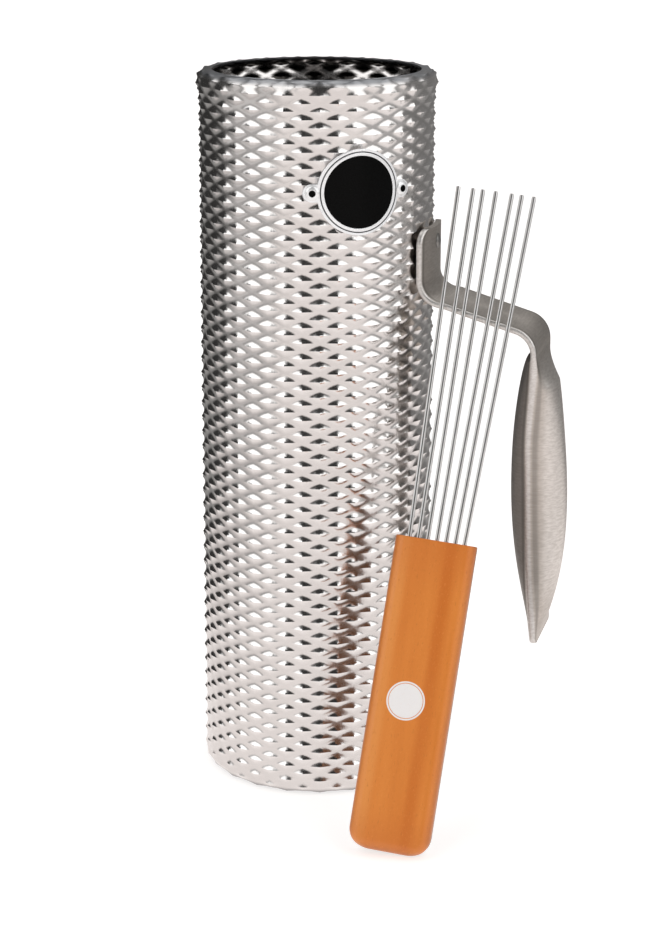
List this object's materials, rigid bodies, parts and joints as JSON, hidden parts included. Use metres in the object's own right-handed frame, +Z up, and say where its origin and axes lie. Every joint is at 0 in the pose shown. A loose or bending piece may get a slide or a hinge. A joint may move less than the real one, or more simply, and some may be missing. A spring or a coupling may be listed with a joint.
{
  "type": "metal guiro with wire scraper",
  "caption": "Upright embossed steel guiro tube, open at both ends, with a strap handle riveted to its side, a round badge and a wire scraper with a wooden handle leaning on it.",
  "frame": {"origin": "centre of the tube's lower mouth, on the plane that the lower rim stands on", "axes": "+Z up along the tube, +X from the tube's axis towards the strap handle"},
  "size_m": [0.1604, 0.1503, 0.305],
  "materials": {
    "embossed_steel": "bright rolled stainless sheet, pressed into diamond points",
    "satin_steel": "satin stainless, brushed along the grip",
    "bright_steel": "polished",
    "black_enamel": "gloss black enamel",
    "orange_wood": "fine-grained orange-brown wood under satin lacquer",
    "tine_steel": "bright drawn wire"
  },
  "bodies": {
    "guiro": {"body_shell": "embossed_steel", "handle": "satin_steel", "handle_rivet": "bright_steel", "handle_washer": "bright_steel", "badge_plate": "bright_steel", "badge_enamel": "black_enamel", "badge_rivet_left": "bright_steel", "badge_rivet_right": "bright_steel"},
    "scraper": {"scraper_handle": "orange_wood", "tine_1": "tine_steel", "tine_2": "tine_steel", "tine_3": "tine_steel", "tine_4": "tine_steel", "tine_5": "tine_steel", "tine_6": "tine_steel", "tine_7": "tine_steel"}
  },
  "joints": [
    {"name": "scraper_lift", "type": "slide", "parent": "guiro", "child": "scraper", "axis": [0, 0, 1], "range_m": [0, 0.31]}
  ]
}
